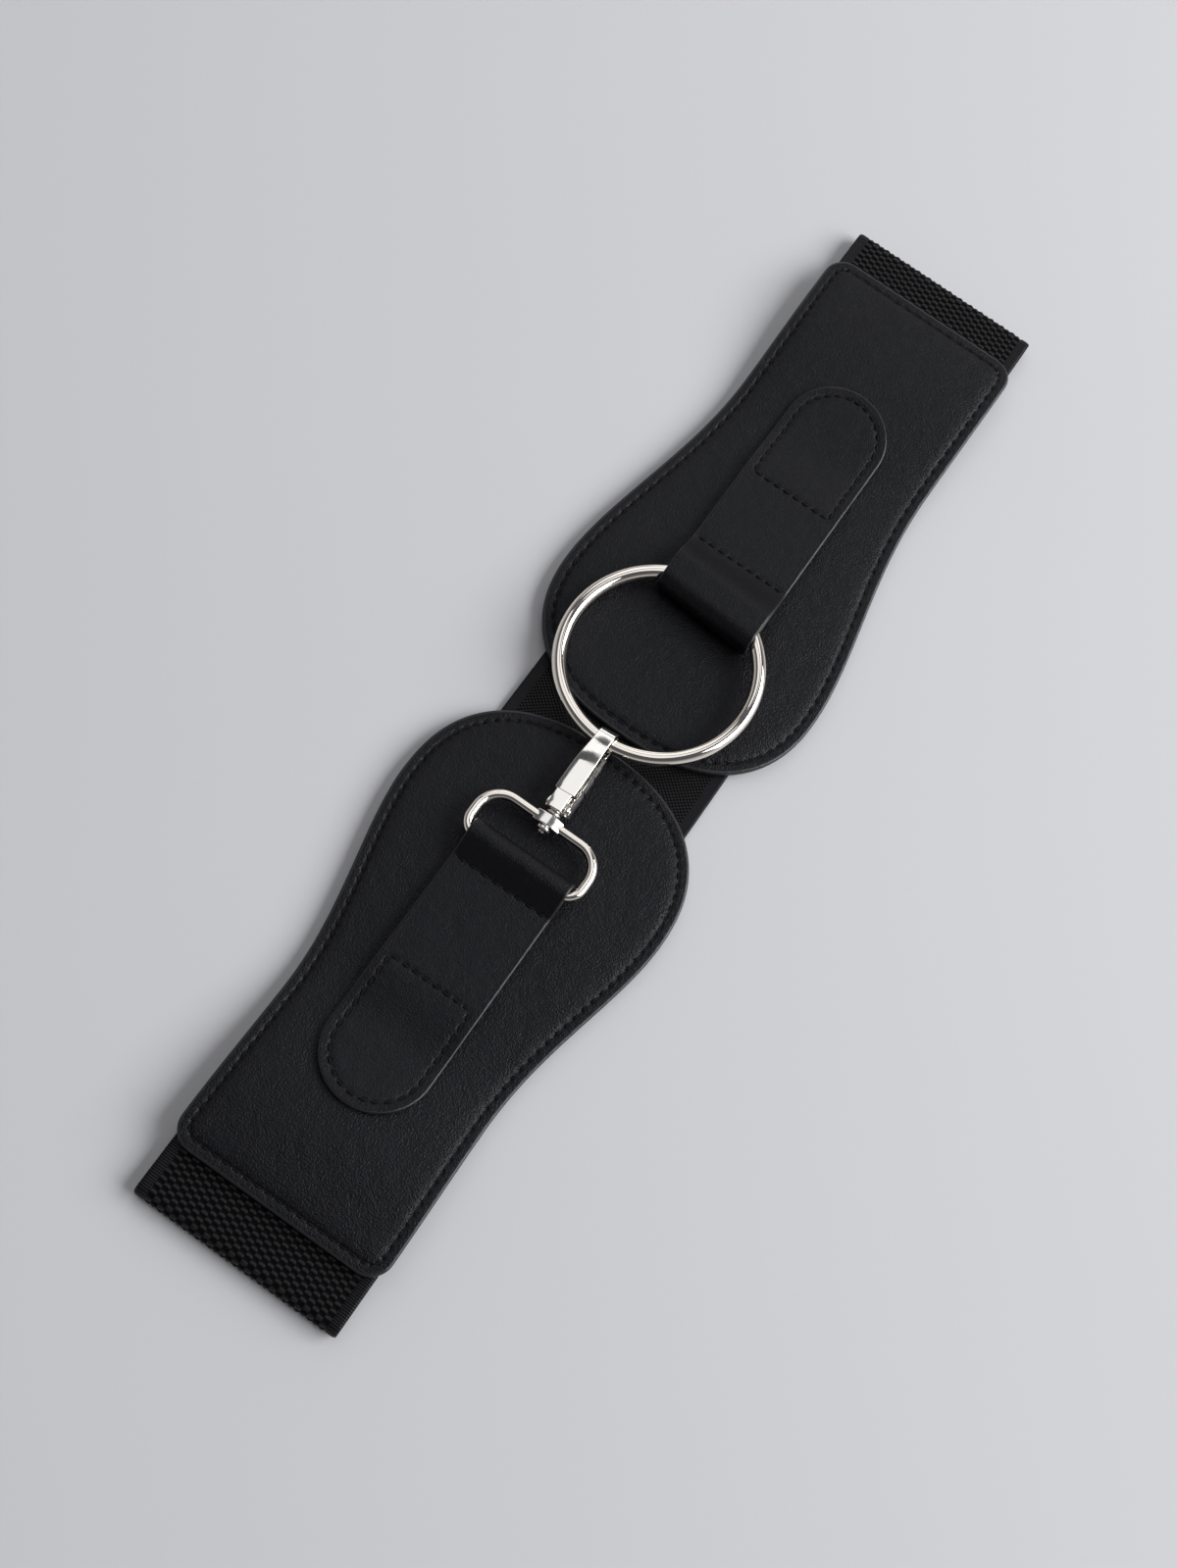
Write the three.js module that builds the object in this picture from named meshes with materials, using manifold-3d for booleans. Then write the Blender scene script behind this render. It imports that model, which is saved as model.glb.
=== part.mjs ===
// Elastic stretch belt, lying flat and fastened at the front.
// Millimetres. X runs along the belt from the hook's side to the ring's side, Z is up,
// and the origin is under the middle of the belt, on the surface that it lies on.

import * as THREE from 'three';
import { mergeVertices } from 'three/addons/utils/BufferGeometryUtils.js';
import Module from 'manifold-3d';

const wasm = await Module();
wasm.setup();

// Gap between pieces that touch
const SEAT = 0.3;

// How far joined shapes run into each other, and cutting shapes past the cut
const SUNK = 0.5;
const MARGIN = 1;

// Elastic band
const BAND_WIDTH = 60;
const WEB = 1.8;
const FOLD_SPACE = 2.0;
const SEWN_LAP = 15;
const HOOK_STRIP = 15.3;
const RING_STRIP = 13.8;

// Front panels
const HOOK_PANEL_LENGTH = 147;
const RING_PANEL_LENGTH = 161;
const PANEL_GAP = 5.5;
const BULB_HALF = 41;
const BULB_REACH = 36;
const WAIST_HALF = 31;
const END_HALF = 31.4;
const WAIST_SHARE = 0.69;
const CORNER = 6.5;
const BULB_POWER = 2.4;
const FLANK_EASE = 0.87;
const PANEL_EDGE = 2.1;
const PAD_RISE = 0.5;
const EDGE_ROUND = 0.9;
const SEAM_INSET = 2.9;
const SEAM_HALF = 0.6;
const SEAM_DEPTH = 0.25;
const PAD_INSET = 5;
const RAMP = 48;

// O ring
const RING_OUTER = 58;
const RING_WIRE = 4;
const RING_OFFSET = 23.55;
const RING_Y = 2.3;
const RING_LEAN = THREE.MathUtils.degToRad(3);
const RING_PITCH = THREE.MathUtils.degToRad(1);

// Straps folded round the metal, with distances from the middle of the wire outwards
const PLY = 1.5;
const TAB_HALF = 15.35;
const HOOK_TAB_Y = 1.4;
const RING_TAB_Y = 0.6;
const HOOK_TAB_REACH = 74.4;
const RING_TAB_REACH = 77.4;
const HOOK_NEAR_STITCH = 6.7;
const RING_NEAR_STITCH = 11.6;
const DOUBLED = 40.5;
const STEP_DOWN = 6;
const FOLD_CLEAR = 0.5;
const FOLD_OPEN = 0.7;
const FOLD_TAIL = 0.3;

// Wire loop and its collar
const LOOP_WIRE = 2.8;
const LOOP_WIDE = 37.7;
const LOOP_DEEP = 17;
const LOOP_FRONT_CORNER = 7.2;
const LOOP_BACK_CORNER = 4.5;
const COLLAR_HALF = 4.1;
const COLLAR_DEEP = 3.3;
const COLLAR_RISE = 2.3;
const COLLAR_TAPER = 0.15;
const COLLAR_CUT = 0.5;

// Snap hook, in its own frame with the swivel's axis at zero height
const HOOK_Y = 1.4;
const ROLL = THREE.MathUtils.degToRad(-12);
const SHANK = 2.2;
const RIVET_HEAD = 4;
const RIVET_THICK = 1.8;
const FLANGE = 4.4;
const FLANGE_THICK = 0.8;
const BODY_LENGTH = 27.6;
const BASE_LENGTH = 5.4;
const BASE_HALF = 2.2;
const BASE_TOP = 3.3;
const BASE_CUT = 1;
const HEEL = 4.2;
const PLATE_HALF = 2.95;
const NOSE_HALF = 2.25;
const PLATE_TAPER = 14;
const PLATE_BEND = 9.5;
const PLATE_CROWN = 0.2;
const PLATE_THICK = 1.4;
const EYE_CLEAR = 0.9;
const EYE_CORNER = 1.6;
const NOSE_CLEAR = 0.5;
const NOSE_WALL = 0.8;
const BAR_THICK = 1.1;
const BAR_HALF = 1.9;
const BAR_REACH = 3.2;
const HOOK_CLEAR = 0.3;

// Gate
const GATE_HALF = 3.4;
const GATE_TIP_HALF = 2.6;
const GATE_THICK = 0.8;
const GATE_LAP = 1.3;
const GATE_TAPER = 3;
const GATE_BACK = 1.2;
const CHEEK_LENGTH = 6;
const CHEEK_TOP = 0.9;
const CHEEK_SLOPE = 1;
const EAR_THICK = 0.95;
const EAR_RADIUS = 1.9;
const EAR_REACH = 2.3;
const PIN = 1.3;
const PIN_PROUD = 0.25;

// Heights worked out from the sizes above
const bandTop = 2 * WEB + FOLD_SPACE;
const underBulb = WEB + SEAT;
const underEnd = bandTop + SEAT;
const padTop = underBulb + PANEL_EDGE + PAD_RISE;
const eyeHalf = RING_WIRE / 2 + EYE_CLEAR;
const hookDrop = (eyeHalf + BAR_THICK) * Math.cos(ROLL) - BAR_HALF * Math.sin(ROLL);
const axisZ = padTop + HOOK_CLEAR + hookDrop;

// Places along the belt
const bandHalf = (HOOK_STRIP + HOOK_PANEL_LENGTH + PANEL_GAP + RING_PANEL_LENGTH + RING_STRIP) / 2;
const hookOuter = -bandHalf + HOOK_STRIP;
const hookInner = hookOuter + HOOK_PANEL_LENGTH;
const ringInner = hookInner + PANEL_GAP;
const ringOuter = ringInner + RING_PANEL_LENGTH;
const ringX = (hookInner + ringInner) / 2 + RING_OFFSET;
const ringRadius = (RING_OUTER - RING_WIRE) / 2;
const ringLeft = ringX - ringRadius;
const ringRight = ringX + ringRadius;
const ringZ = axisZ + ringRadius * Math.sin(RING_PITCH);
const ringFoldZ = ringZ + ringRadius * Math.sin(RING_PITCH);
const noseX = ringLeft + RING_WIRE / 2 + NOSE_CLEAR + NOSE_WALL;
const baseX = noseX - BODY_LENGTH;
const collarX = baseX - FLANGE_THICK - SEAT - COLLAR_DEEP / 2;
const loopX = collarX - LOOP_DEEP / 2 + LOOP_WIRE / 2;
const loopBack = loopX - LOOP_DEEP / 2 + LOOP_WIRE / 2;
const loopStraightHalf = (LOOP_WIDE - LOOP_WIRE) / 2 - LOOP_BACK_CORNER;

const leather = { color: 0x17171a, roughness: 0.5, metalness: 0 };
const webbing = { color: 0x0c0c0f, roughness: 0.85, metalness: 0 };
const nickel = { color: 0xd9d6d2, roughness: 0.12, metalness: 1 };

// Small helpers for meshes

function meshFrom(points, faces) {
  const geometry = new THREE.BufferGeometry();
  geometry.setAttribute('position', new THREE.Float32BufferAttribute(points.flat(), 3));
  geometry.setIndex(faces.flat());
  return geometry;
}

function toSolid(geometry) {
  const bare = geometry.clone();
  bare.deleteAttribute('normal');
  bare.deleteAttribute('uv');
  const merged = mergeVertices(bare, 1e-4);
  return new wasm.Manifold(new wasm.Mesh({
    numProp: 3,
    vertProperties: new Float32Array(merged.attributes.position.array),
    triVerts: new Uint32Array(merged.index.array),
  }));
}

function fromSolid(solid) {
  const { vertProperties, triVerts } = solid.getMesh();
  const geometry = new THREE.BufferGeometry();
  geometry.setAttribute('position', new THREE.BufferAttribute(new Float32Array(vertProperties), 3));
  geometry.setIndex(new THREE.BufferAttribute(new Uint32Array(triVerts), 1));
  return geometry;
}

function piece(name, geometry, look) {
  const mesh = new THREE.Mesh(geometry, new THREE.MeshStandardMaterial(look));
  mesh.name = name;
  return mesh;
}

// Points as vectors that run anticlockwise
function anticlockwise(points) {
  const vectors = points.map(([x, y]) => new THREE.Vector2(x, y));
  return THREE.ShapeUtils.isClockWise(vectors) ? vectors.reverse() : vectors;
}

// Extrudes a side view, drawn as points [x, z], to an even thickness across the belt
function acrossBelt(profile, halfWidth, holes = []) {
  const shape = new THREE.Shape(anticlockwise(profile));
  for (const hole of holes) {
    shape.holes.push(new THREE.Path(anticlockwise(hole).reverse()));
  }
  const geometry = new THREE.ExtrudeGeometry(shape, { depth: 2 * halfWidth, bevelEnabled: false });
  geometry.rotateX(Math.PI / 2);
  geometry.translate(0, halfWidth, 0);
  return geometry;
}

// Extrudes a plan view, drawn as points [x, y], between two heights
function upright(plan, low, high) {
  const shape = new THREE.Shape(anticlockwise(plan));
  const geometry = new THREE.ExtrudeGeometry(shape, { depth: high - low, bevelEnabled: false });
  geometry.translate(0, 0, low);
  return geometry;
}

function arc(cx, cy, rx, ry, from, to, steps) {
  const points = [];
  for (let i = 0; i <= steps; i += 1) {
    const angle = THREE.MathUtils.degToRad(from + ((to - from) * i) / steps);
    points.push([cx + rx * Math.cos(angle), cy + ry * Math.sin(angle)]);
  }
  return points;
}

// Elastic band: one strip, folded back on itself at both ends

function elasticBand() {
  const outer = bandTop / 2;
  const inner = FOLD_SPACE / 2;
  const steps = 8;
  const leftEnd = hookOuter + SEWN_LAP;
  const rightEnd = ringOuter - SEWN_LAP;
  const left = -bandHalf + outer;
  const right = bandHalf - outer;
  const profile = [
    ...arc(right, outer, outer, outer, -90, 90, steps),
    [rightEnd, bandTop],
    [rightEnd, bandTop - WEB],
    ...arc(right, outer, inner, inner, 90, -90, steps),
    ...arc(left, outer, inner, inner, 270, 90, steps),
    [leftEnd, bandTop - WEB],
    [leftEnd, bandTop],
    ...arc(left, outer, outer, outer, 90, 270, steps),
  ];
  return piece('elastic_band', acrossBelt(profile, BAND_WIDTH / 2), webbing);
}

// Height of a panel's underside: on the folded band at its outer end, then sloping
// down to lie on the bottom run
function underside(x) {
  const end = x < 0 ? hookOuter + SEWN_LAP : ringOuter - SEWN_LAP;
  const share = THREE.MathUtils.clamp((Math.abs(end) - Math.abs(x)) / RAMP, 0, 1);
  return THREE.MathUtils.lerp(underEnd, underBulb, THREE.MathUtils.smoothstep(share, 0, 1));
}

// Rows across half a panel, from its straight outer end to its round inner end.
// Each row has its distance from the inner end, its half width and the outward normal.
function panelRows(length) {
  const rows = [];
  const waistAt = WAIST_SHARE * length;
  for (const [u, half] of arc(length - CORNER, END_HALF - CORNER, CORNER, CORNER, 0, 90, 5)) {
    rows.push({ u, half });
  }
  const plain = 3;
  for (let i = 1; i <= plain; i += 1) {
    const share = i / plain;
    const u = THREE.MathUtils.lerp(length - CORNER, waistAt, share);
    const half = THREE.MathUtils.lerp(END_HALF, WAIST_HALF, THREE.MathUtils.smoothstep(share, 0, 1));
    rows.push({ u, half });
  }
  const flank = 10;
  for (let i = flank - 1; i >= 0; i -= 1) {
    const share = i / flank;
    const u = THREE.MathUtils.lerp(BULB_REACH, waistAt, share);
    const fall = 0.5 * (1 + Math.cos(Math.PI * share ** FLANK_EASE));
    rows.push({ u, half: THREE.MathUtils.lerp(WAIST_HALF, BULB_HALF, fall) });
  }
  const round = 11;
  for (let i = round - 1; i >= 1; i -= 1) {
    const angle = (Math.PI / 2) * (i / round);
    const half = BULB_HALF * Math.sin(angle) ** (2 / BULB_POWER);
    rows.push({ u: noseDepth(half), half });
  }
  rows.forEach((row, i) => {
    const before = rows[Math.max(i - 1, 0)];
    const after = rows[Math.min(i + 1, rows.length - 1)];
    const normal = new THREE.Vector2(before.half - after.half, after.u - before.u).normalize();
    row.nu = i === 0 ? 1 : -normal.x;
    row.nh = i === 0 ? 0 : -normal.y;
  });
  return rows;
}

// Distance from the inner end to the round outline at a given half width
function noseDepth(half) {
  const share = Math.min(half / BULB_HALF, 1);
  return BULB_REACH * (1 - (1 - share ** BULB_POWER) ** (1 / BULB_POWER));
}

// Fractions of the half width at which a row has its points
const ACROSS = [-1, -0.84, -0.6, -0.3, 0, 0.3, 0.6, 0.84, 1];

// A panel: rounded edge, flat margin, seam line and a puffed middle
function frontPanel(name, innerX, direction, length) {
  const rows = panelRows(length);
  const last = rows.length - 1;
  const grid = (inset) => rows.map((row, i) => {
    const half = row.half - inset * row.nh;
    const u = row.u - inset * row.nu;
    return ACROSS.map((share) => {
      const y = half * share;
      const bulge = i === last ? noseDepth(row.half) - noseDepth(Math.abs(row.half * share)) : 0;
      return [innerX + direction * (u - bulge), y];
    });
  });
  const rings = [
    { inset: EDGE_ROUND / 2, rise: 0 },
    { inset: 0, rise: PANEL_EDGE * 0.25 },
    { inset: 0, rise: PANEL_EDGE - EDGE_ROUND * 0.7 },
    { inset: EDGE_ROUND * 0.3, rise: PANEL_EDGE - EDGE_ROUND * 0.25 },
    { inset: EDGE_ROUND, rise: PANEL_EDGE },
    { inset: SEAM_INSET - SEAM_HALF, rise: PANEL_EDGE },
    { inset: SEAM_INSET, rise: PANEL_EDGE - SEAM_DEPTH },
    { inset: SEAM_INSET + SEAM_HALF, rise: PANEL_EDGE + PAD_RISE * 0.3 },
    { inset: PAD_INSET, rise: PANEL_EDGE + PAD_RISE * 0.75 },
  ];
  const columns = ACROSS.length;
  const points = [];
  const faces = [];
  const place = ([x, y], rise) => points.push([x, y, underside(x) + rise]) - 1;
  const rim = (cells) => [
    ...cells[0],
    ...cells.slice(1, last).map((row) => row[columns - 1]),
    ...[...cells[last]].reverse(),
    ...cells.slice(1, last).reverse().map((row) => row[0]),
  ];
  const quad = (a, b, c, d) => faces.push([a, b, c], [a, c, d]);

  const loops = rings.map(({ inset, rise }) => rim(grid(inset)).map((at) => place(at, rise)));
  for (let k = 0; k < loops.length - 1; k += 1) {
    const count = loops[k].length;
    for (let i = 0; i < count; i += 1) {
      const next = (i + 1) % count;
      quad(loops[k][i], loops[k][next], loops[k + 1][next], loops[k + 1][i]);
    }
  }
  const cover = (loop, inset, riseInside, flip) => {
    const cells = grid(inset);
    const ids = cells.map((row, i) => row.map((at, j) => {
      const edge = i === 0 || i === last || j === 0 || j === columns - 1;
      return edge ? null : place(at, riseInside);
    }));
    rim(ids.map((row, i) => row.map((_, j) => [i, j]))).forEach(([i, j], n) => {
      ids[i][j] = loop[n];
    });
    for (let i = 0; i < last; i += 1) {
      for (let j = 0; j < columns - 1; j += 1) {
        const corners = [ids[i][j], ids[i][j + 1], ids[i + 1][j + 1], ids[i + 1][j]];
        quad(...(flip ? corners.reverse() : corners));
      }
    }
  };
  cover(loops[0], rings[0].inset, 0, true);
  cover(loops[loops.length - 1], PAD_INSET, PANEL_EDGE + PAD_RISE, false);
  if (direction < 0) {
    faces.forEach((face) => face.reverse());
  }
  return piece(name, meshFrom(points, faces), leather);
}

// How far the inner side of a curved wire has come forward at a distance from its middle
function wireForward(radius, wireSize, aside) {
  const innerRadius = radius - wireSize / 2;
  return innerRadius - Math.sqrt(innerRadius ** 2 - aside ** 2);
}

// Strap folded round a wire: two plies from the fold to the far stitch line, then one
// ply to its round tip. Distances run from the middle of the wire outwards. The fold
// reaches forward as its wire does at the strap's two edges, and leans with it.
function foldedTab(name, { wire, direction, centreY, reach, nearStitch }) {
  const { x: wireX, z: wireZ, size: wireSize, lean } = wire;
  const forwardAt = (edge) => {
    const aside = Math.max(Math.abs(centreY + edge - wire.y) - wire.straightHalf, 0);
    return wireForward(wire.radius, wireSize, aside);
  };
  const forward = forwardAt(-TAB_HALF);
  const skew = forward - forwardAt(TAB_HALF);
  const wrap = wireSize / 2 + FOLD_CLEAR + PLY;
  const seatAt = (s) => underside(wireX + direction * s) + PANEL_EDGE + PAD_RISE + SEAT;
  const foldTop = wireZ + wrap;
  const base = seatAt(0);
  const middle = (foldTop + base) / 2;
  const tall = (foldTop - base) / 2;

  const bottom = [];
  const stations = 14;
  for (let i = 0; i <= stations; i += 1) {
    const s = THREE.MathUtils.lerp(-forward, reach, i / stations);
    bottom.push([s, seatAt(s)]);
  }
  const top = [];
  const fall = 6;
  for (let i = 1; i <= fall; i += 1) {
    const s = (nearStitch * i) / fall;
    const share = THREE.MathUtils.smoothstep(i / fall, 0, 1);
    top.push([s, THREE.MathUtils.lerp(foldTop, seatAt(s) + 2 * PLY, share)]);
  }
  for (const share of [1 / 3, 2 / 3, 1]) {
    const s = THREE.MathUtils.lerp(nearStitch, DOUBLED, share);
    top.push([s, seatAt(s) + 2 * PLY]);
  }
  const single = 5;
  for (let i = 0; i <= single; i += 1) {
    const s = THREE.MathUtils.lerp(DOUBLED + STEP_DOWN, reach, i / single);
    top.push([s, seatAt(s) + PLY]);
  }
  const profile = [
    ...bottom,
    ...top.reverse(),
    [0, foldTop],
    ...arc(-forward, middle, wrap, tall, 90, 255, 10),
  ];
  const hollowBack = nearStitch * FOLD_OPEN;
  const hollow = [
    ...arc(-forward, middle, wrap - PLY, tall - PLY, 90, 270, 10),
    [hollowBack, seatAt(hollowBack) + PLY],
    [hollowBack, seatAt(hollowBack) + PLY + FOLD_TAIL],
    [wireSize / 2, foldTop - PLY],
  ];
  const turn = (list) => list.map(([s, z]) => [wireX + direction * s, z]);
  const strap = acrossBelt(turn(profile), TAB_HALF, [turn(hollow)]);
  const front = -forward - 2 * wrap;
  const plan = [
    [front, -TAB_HALF],
    ...arc(reach - TAB_HALF, 0, TAB_HALF, TAB_HALF, -90, 90, 16),
    [front, TAB_HALF],
  ];
  const outline = upright(turn(plan), 0, foldTop + MARGIN);
  const geometry = fromSolid(toSolid(strap).intersect(toSolid(outline)));
  const at = geometry.attributes.position;
  for (let i = 0; i < at.count; i += 1) {
    const rise = THREE.MathUtils.clamp((at.getZ(i) - base - PLY) / (foldTop - base - 2 * PLY), 0, 1);
    const s = direction * (at.getX(i) - wireX);
    const nearFold = 1 - THREE.MathUtils.smoothstep(s, -forward, nearStitch);
    const y = at.getY(i) + centreY;
    const back = (skew * nearFold * (at.getY(i) + TAB_HALF)) / (2 * TAB_HALF);
    const drop = Math.sin(lean) * (y - wire.y) * rise * nearFold;
    at.setXYZ(i, at.getX(i) + direction * back, y, at.getZ(i) - drop);
  }
  return piece(name, geometry, leather);
}

// O ring
function oRing() {
  const mesh = piece('ring', new THREE.TorusGeometry(ringRadius, RING_WIRE / 2, 12, 72), nickel);
  mesh.position.set(ringX, RING_Y, ringZ);
  mesh.rotation.set(-RING_LEAN, -RING_PITCH, 0);
  return mesh;
}

// Wire swept round a closed flat path, given as points [x, y] with their normals
function closedWire(path, radius, sides) {
  const points = [];
  const faces = [];
  path.forEach(({ x, y, nx, ny }) => {
    for (let k = 0; k < sides; k += 1) {
      const angle = (2 * Math.PI * k) / sides;
      const out = radius * Math.cos(angle);
      points.push([x + nx * out, y + ny * out, radius * Math.sin(angle)]);
    }
  });
  path.forEach((_, i) => {
    const next = (i + 1) % path.length;
    for (let k = 0; k < sides; k += 1) {
      const up = (k + 1) % sides;
      const a = i * sides + k;
      const b = next * sides + k;
      const c = next * sides + up;
      const d = i * sides + up;
      faces.push([a, b, c], [a, c, d]);
    }
  });
  return meshFrom(points, faces);
}

// Lofts eight-cornered sections across the belt, each with half sizes in X and Z
function crossBoss(sections) {
  const points = [];
  const faces = [];
  for (const { y, halfX, halfZ, cut } of sections) {
    for (const [sx, sz] of [[1, -1], [1, 1], [-1, 1], [-1, -1]]) {
      const first = [sx * halfX, sz * (halfZ - cut)];
      const second = [sx * (halfX - cut), sz * halfZ];
      const pair = sx * sz < 0 ? [second, first] : [first, second];
      pair.forEach(([x, z]) => points.push([x, y, z]));
    }
  }
  for (let i = 0; i < sections.length - 1; i += 1) {
    for (let k = 0; k < 8; k += 1) {
      const next = (k + 1) % 8;
      const a = i * 8 + k;
      const b = i * 8 + next;
      faces.push([a, a + 8, b + 8], [a, b + 8, b]);
    }
  }
  const end = (sections.length - 1) * 8;
  for (let k = 1; k < 7; k += 1) {
    faces.push([0, k, k + 1], [end, end + k + 1, end + k]);
  }
  return meshFrom(points, faces);
}

function alongBelt(radius, from, to, sides = 16) {
  const geometry = new THREE.CylinderGeometry(radius, radius, to - from, sides);
  geometry.rotateZ(Math.PI / 2);
  geometry.translate((from + to) / 2, 0, 0);
  return geometry;
}

// Wire loop that the hook's strap holds, with the swivel's collar on its front bar
function hookLoop() {
  const halfX = LOOP_DEEP / 2 - LOOP_WIRE / 2;
  const halfY = LOOP_WIDE / 2 - LOOP_WIRE / 2;
  const path = [];
  for (const [sx, sy, from] of [[1, 1, 0], [-1, 1, 90], [-1, -1, 180], [1, -1, 270]]) {
    for (let i = 0; i <= 7; i += 1) {
      const angle = THREE.MathUtils.degToRad(from + (90 * i) / 7);
      const corner = sx > 0 ? LOOP_FRONT_CORNER : LOOP_BACK_CORNER;
      const nx = Math.cos(angle);
      const ny = Math.sin(angle);
      const x = sx * (halfX - corner) + corner * nx;
      const y = sy * (halfY - corner) + corner * ny;
      path.push({ x, y, nx, ny });
    }
  }
  const wire = closedWire(path, LOOP_WIRE / 2, 10);
  const endX = COLLAR_DEEP / 2 - COLLAR_TAPER;
  const endZ = LOOP_WIRE / 2 + COLLAR_TAPER;
  const boss = crossBoss([
    { y: -COLLAR_HALF, halfX: endX, halfZ: endZ, cut: COLLAR_CUT },
    { y: 0, halfX: COLLAR_DEEP / 2, halfZ: COLLAR_RISE, cut: COLLAR_CUT },
    { y: COLLAR_HALF, halfX: endX, halfZ: endZ, cut: COLLAR_CUT },
  ]);
  boss.translate(collarX - loopX, 0, 0);
  const bore = alongBelt(SHANK / 2 + SEAT, collarX - loopX - COLLAR_DEEP, collarX - loopX + COLLAR_DEEP);
  const solid = toSolid(wire).add(toSolid(boss)).subtract(toSolid(bore));
  const mesh = piece('hook_loop', fromSolid(solid), nickel);
  mesh.position.set(loopX, HOOK_Y, axisZ);
  return mesh;
}

// Places in the snap hook's own frame, measured from the nose's outer face
const barEnd = -NOSE_WALL - RING_WIRE - BAR_REACH;
const barTop = -eyeHalf;
const pivotX = -BODY_LENGTH + EAR_REACH;
const gateTop = barTop + SEAT + GATE_THICK;
const baseBottom = gateTop + SEAT;

// Snap hook: rivet and shank through the collar, base, top plate, nose and return
function hookBody() {
  const plateTop = eyeHalf + PLATE_THICK;
  const barBottom = barTop - BAR_THICK;
  const plateStart = -BODY_LENGTH + BASE_LENGTH;
  const noseHalf = eyeHalf + NOSE_WALL;
  const profile = [
    [-BODY_LENGTH, baseBottom],
    [pivotX + SEAT, baseBottom],
    [plateStart + 0.1 * HEEL, 0.1 * eyeHalf],
    [plateStart + 0.4 * HEEL, 0.75 * eyeHalf],
    [plateStart + HEEL, eyeHalf],
    ...arc(-NOSE_WALL - EYE_CORNER, eyeHalf - EYE_CORNER, EYE_CORNER, EYE_CORNER, 90, 0, 4),
    ...arc(-NOSE_WALL - EYE_CORNER, EYE_CORNER - eyeHalf, EYE_CORNER, EYE_CORNER, 0, -90, 4),
    [barEnd, barTop],
    [barEnd, barBottom],
    ...arc(-noseHalf, 0, noseHalf, -barBottom, -90, 0, 5).slice(0, -1),
    ...arc(-noseHalf, 0, noseHalf, plateTop, 0, 90, 6),
    [-PLATE_BEND, plateTop + PLATE_CROWN],
    [plateStart, plateTop - PLATE_CROWN],
    [plateStart, BASE_TOP],
    [-BODY_LENGTH + BASE_CUT, BASE_TOP],
    [-BODY_LENGTH, BASE_TOP - BASE_CUT],
  ];
  const side = acrossBelt(profile, PLATE_HALF + MARGIN);
  const topPlan = [
    [-BODY_LENGTH - MARGIN, -BASE_HALF],
    [plateStart, -BASE_HALF],
    [plateStart, -PLATE_HALF],
    [-PLATE_TAPER, -PLATE_HALF],
    [MARGIN, -NOSE_HALF],
    [MARGIN, NOSE_HALF],
    [-PLATE_TAPER, PLATE_HALF],
    [plateStart, PLATE_HALF],
    [plateStart, BASE_HALF],
    [-BODY_LENGTH - MARGIN, BASE_HALF],
  ];
  const barPlan = [
    [-BODY_LENGTH - MARGIN, -BASE_HALF],
    [plateStart, -BAR_HALF],
    [MARGIN, -BAR_HALF],
    [MARGIN, BAR_HALF],
    [plateStart, BAR_HALF],
    [-BODY_LENGTH - MARGIN, BASE_HALF],
  ];
  const upper = upright(topPlan, eyeHalf - 2 * SUNK, plateTop + MARGIN);
  const lower = upright(barPlan, barBottom - MARGIN, eyeHalf - SUNK);
  let solid = toSolid(side).intersect(toSolid(upper).add(toSolid(lower)));

  const collarBack = collarX - noseX - COLLAR_DEEP / 2 - SEAT;
  const parts = [
    alongBelt(FLANGE / 2, -BODY_LENGTH - FLANGE_THICK, -BODY_LENGTH + SUNK),
    alongBelt(SHANK / 2, collarBack - SUNK, -BODY_LENGTH),
    alongBelt(RIVET_HEAD / 2, collarBack - RIVET_THICK * 0.6, collarBack),
    alongBelt(RIVET_HEAD * 0.36, collarBack - RIVET_THICK, collarBack),
  ];
  const pinHalf = BASE_HALF + SEAT + EAR_THICK + PIN_PROUD;
  const pin = new THREE.CylinderGeometry(PIN / 2, PIN / 2, 2 * pinHalf, 12);
  pin.translate(pivotX, 0, 0);
  parts.push(pin);
  for (const part of parts) {
    solid = solid.add(toSolid(part));
  }
  return piece('hook_body', fromSolid(solid), nickel);
}

// Gate: a channel under the eye, with an ear on each side of the hook's base
function gatePlate() {
  const tipX = barEnd + GATE_LAP;
  const low = gateTop - GATE_THICK;
  const ear = (centre) => {
    const geometry = new THREE.CylinderGeometry(EAR_RADIUS, EAR_RADIUS, EAR_THICK, 18);
    geometry.translate(pivotX, centre, 0);
    return geometry;
  };
  const earCentre = BASE_HALF + SEAT + EAR_THICK / 2;
  const earOuter = earCentre + EAR_THICK / 2;
  const backX = pivotX - GATE_BACK;
  const floor = upright([
    [backX, -earOuter],
    [pivotX + CHEEK_LENGTH, -GATE_HALF],
    [barEnd - GATE_TAPER, -GATE_TIP_HALF],
    [tipX, -GATE_TIP_HALF],
    [tipX, GATE_TIP_HALF],
    [barEnd - GATE_TAPER, GATE_TIP_HALF],
    [pivotX + CHEEK_LENGTH, GATE_HALF],
    [backX, earOuter],
  ], low, gateTop);
  let solid = toSolid(floor);
  for (const side of [-1, 1]) {
    const cheek = [
      [backX, low],
      [pivotX + CHEEK_LENGTH + CHEEK_SLOPE, low],
      [pivotX + CHEEK_LENGTH, (low + gateTop) / 2 + CHEEK_SLOPE],
      [pivotX + PIN, CHEEK_TOP],
      [backX, CHEEK_TOP],
    ];
    const wall = acrossBelt(cheek, EAR_THICK / 2);
    wall.translate(0, side * earCentre, 0);
    solid = solid.add(toSolid(wall)).add(toSolid(ear(side * earCentre)));
  }
  const hole = new THREE.CylinderGeometry(PIN / 2 + SEAT, PIN / 2 + SEAT, 4 * GATE_HALF, 12);
  hole.translate(pivotX, 0, 0);
  return piece('gate', fromSolid(solid.subtract(toSolid(hole))), nickel);
}

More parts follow.
